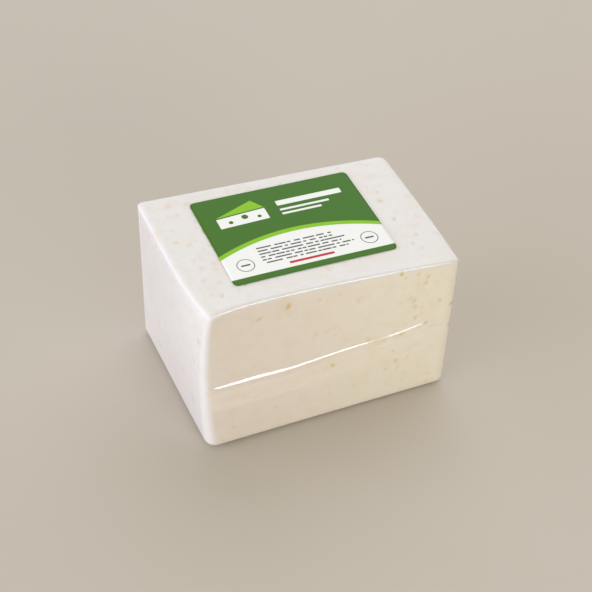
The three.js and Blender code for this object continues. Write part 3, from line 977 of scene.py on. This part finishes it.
def make_label():
    """A slab: each row is as long as the outline with round corners is wide there, its height follows
    the block's top, and its UV is the share of the width and the depth."""
    cube, quads = cube_skin([np.linspace(-1, 1, LABEL_WIDTH_ROWS + 1), label_rows(), np.array([-1.0, 1.0])])
    y = cube[:, 1] * LABEL_HALF[1]
    past = np.maximum(0, np.abs(y) - (LABEL_HALF[1] - LABEL_CORNER))
    x = cube[:, 0] * (LABEL_HALF[0] - LABEL_CORNER + np.sqrt(np.maximum(0, LABEL_CORNER**2 - past**2)))
    turned = np.column_stack([x * np.cos(LABEL_TURN) - y * np.sin(LABEL_TURN),
                              x * np.sin(LABEL_TURN) + y * np.cos(LABEL_TURN)])
    place = turned + LABEL_CENTRE + form_shift[:2]
    lift = LABEL_LIFT + LABEL_THICKNESS * (cube[:, 2] + 1) / 2
    points = np.column_stack([place, top_height(place) + lift])
    piece = mesh_piece("label_print", points, quads, printed_label)
    share = np.column_stack([x, y]) / (2 * LABEL_HALF) + 0.5
    corner = np.empty(len(piece.data.loops), np.int32)
    piece.data.loops.foreach_get("vertex_index", corner)
    piece.data.uv_layers.new(name="label").data.foreach_set("uv", share[corner].astype(np.float32).ravel())
    return piece


label = make_label()
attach(label, "root")
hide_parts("label")

# %% [markdown]
# ## Floor, light and camera
# The object stands on a plain pale floor in soft studio light. A cool softbox behind it lights the top.
# A long, low one at the left lights the left end. A small white one in front fills the front and draws
# the thin bright lines on the film, as a small source gives a narrow gloss. A soft warm room fills the
# shadows. One large light would be simpler, but each face of the real block has its own brightness.

# %% The floor
FLOOR_HALF = 3.0
FLOOR_DROP = 0.0002
FLOOR_COLOUR = (0.60, 0.53, 0.45, 1)
FLOOR_MOTTLE_SHADE = 0.97


def floor_material():
    """Pale matt floor with a very slight mottle."""
    material, tree = new_material("pale floor")
    place = add_node(tree, "ShaderNodeTexCoord").outputs["Object"]
    mottle = add_node(tree, "ShaderNodeTexNoise", {"Vector": place, "Scale": 6.0}).outputs["Fac"]
    darker = tuple(FLOOR_MOTTLE_SHADE * c for c in FLOOR_COLOUR[:3]) + (1,)
    colour = blend_colours(tree, mottle, FLOOR_COLOUR, darker)
    shader = add_node(tree, "ShaderNodeBsdfPrincipled", {"Base Color": colour, "Roughness": 0.8})
    return show_shader(material, shader)


corner_signs = np.array([[-1, -1], [1, -1], [1, 1], [-1, 1]])
floor_points = np.column_stack([corner_signs * FLOOR_HALF, np.full(4, -FLOOR_DROP)])
floor = mesh_piece("floor", floor_points, np.array([[0, 1, 2, 3]]), floor_material())

# %% The lights
def softbox(name, place, target, size, power, colour):
    """A rectangular area light at a place, turned to a target."""
    light = bpy.data.lights.new(name, "AREA")
    light.shape = "RECTANGLE"
    light.size, light.size_y = size
    light.energy = power
    light.color = colour
    lamp = bpy.data.objects.new(name, light)
    lamp.location = place
    lamp.rotation_euler = (Vector(target) - Vector(place)).to_track_quat("-Z", "Y").to_euler()
    bpy.context.scene.collection.objects.link(lamp)
    return lamp


LIGHT_TARGET = (0.0, 0.0, 0.05)
BACK_PLACE, BACK_SIZE = (0.95, 1.20, 1.50), (2.6, 2.6)
BACK_POWER, BACK_COLOUR = 31.6, (0.782, 0.812, 0.985)
SIDE_PLACE, SIDE_SIZE = (-2.40, -0.10, 0.62), (4.2, 1.1)
SIDE_POWER, SIDE_COLOUR = 65.0, (0.725, 0.778, 1.0)
FRONT_PLACE, FRONT_SIZE = (0.25, -1.39, 0.50), (0.80, 0.36)
FRONT_POWER, FRONT_COLOUR = 5.1, (0.96, 0.98, 1.0)
ROOM_STRENGTH, ROOM_COLOUR = 0.48, (1.0, 0.994, 0.782)
softbox("back softbox", BACK_PLACE, LIGHT_TARGET, BACK_SIZE, BACK_POWER, BACK_COLOUR)
softbox("side softbox", SIDE_PLACE, LIGHT_TARGET, SIDE_SIZE, SIDE_POWER, SIDE_COLOUR)
softbox("front softbox", FRONT_PLACE, LIGHT_TARGET, FRONT_SIZE, FRONT_POWER, FRONT_COLOUR)

world = bpy.data.worlds.new("soft room")
world.use_nodes = True
world.node_tree.nodes["Background"].inputs["Color"].default_value = (*ROOM_COLOUR, 1)
world.node_tree.nodes["Background"].inputs["Strength"].default_value = ROOM_STRENGTH
bpy.context.scene.world = world
bpy.context.scene.view_settings.view_transform = "Standard"

# %% The camera
VIEW_AZIMUTH, VIEW_ELEVATION, VIEW_ROLL = np.radians([-23.74, 42.11, 2.59])
VIEW_DISTANCE = 0.77535
VIEW_SHIFT_RIGHT, VIEW_SHIFT_UP = 0.00197, 0.03038
SENSOR_MM, LENS_MM = 36.0, 94.66
NEAREST_SEEN = 0.01


def add_camera():
    """A camera looking along the photograph's angle: its back axis points from the block to it, its
    right axis is level and then turned by the roll, and its place is moved sideways in its own plane."""
    flat = np.cos(VIEW_ELEVATION)
    back = np.array([np.sin(VIEW_AZIMUTH) * flat, -np.cos(VIEW_AZIMUTH) * flat, np.sin(VIEW_ELEVATION)])
    level = np.array([np.cos(VIEW_AZIMUTH), np.sin(VIEW_AZIMUTH), 0])
    upright = np.cross(back, level)
    right = np.cos(VIEW_ROLL) * level + np.sin(VIEW_ROLL) * upright
    up = np.cross(back, right)
    place = back * VIEW_DISTANCE + right * VIEW_SHIFT_RIGHT + up * VIEW_SHIFT_UP + form_shift
    lens = bpy.data.cameras.new("camera")
    lens.sensor_width, lens.lens = SENSOR_MM, LENS_MM
    lens.clip_start = NEAREST_SEEN
    camera = bpy.data.objects.new("camera", lens)
    turn = np.eye(4)
    turn[:3, 0], turn[:3, 1], turn[:3, 2], turn[:3, 3] = right, up, back, place
    camera.matrix_world = Matrix(turn.tolist())
    bpy.context.scene.collection.objects.link(camera)
    return camera


bpy.context.scene.camera = add_camera()
print("camera at", [round(c, 4) for c in bpy.context.scene.camera.location])
